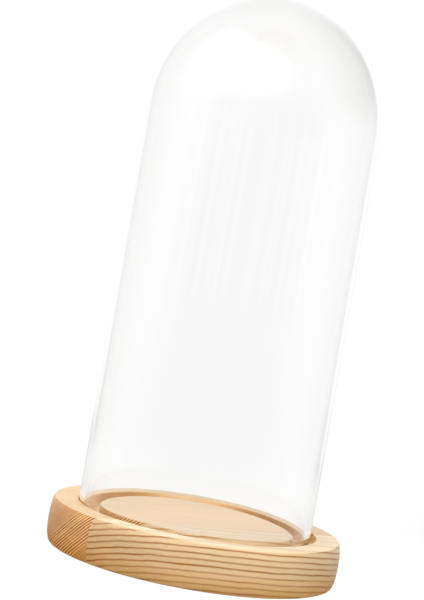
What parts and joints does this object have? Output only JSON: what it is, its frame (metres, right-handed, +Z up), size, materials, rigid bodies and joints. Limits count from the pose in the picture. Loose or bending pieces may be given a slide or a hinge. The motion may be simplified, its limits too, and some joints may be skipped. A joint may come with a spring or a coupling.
{
  "type": "bell jar dome",
  "caption": "Clear glass cloche with a rounded top, standing in a groove turned in a round pine base, for showing and protecting a small object.",
  "frame": {"origin": "centre of the round base's underside, on the surface it stands on", "axes": "+Z up, along the axis that the base is turned about; -Y towards the viewer, so that the glue line in the base shows at the front left; +X to the viewer's right"},
  "size_m": [0.1374, 0.1374, 0.2674],
  "materials": {
    "clear_glass": "clear polished",
    "pine_front": "sanded and clear sealed",
    "pine_rear": "sanded and clear sealed"
  },
  "bodies": {
    "base": {"base_front_board": "pine_front", "base_rear_board": "pine_rear"},
    "dome": {"glass_dome": "clear_glass"}
  },
  "joints": [
    {"name": "dome_lift", "type": "slide", "parent": "base", "child": "dome", "axis": [0, 0, 1], "range_m": [0, 0.3]}
  ]
}
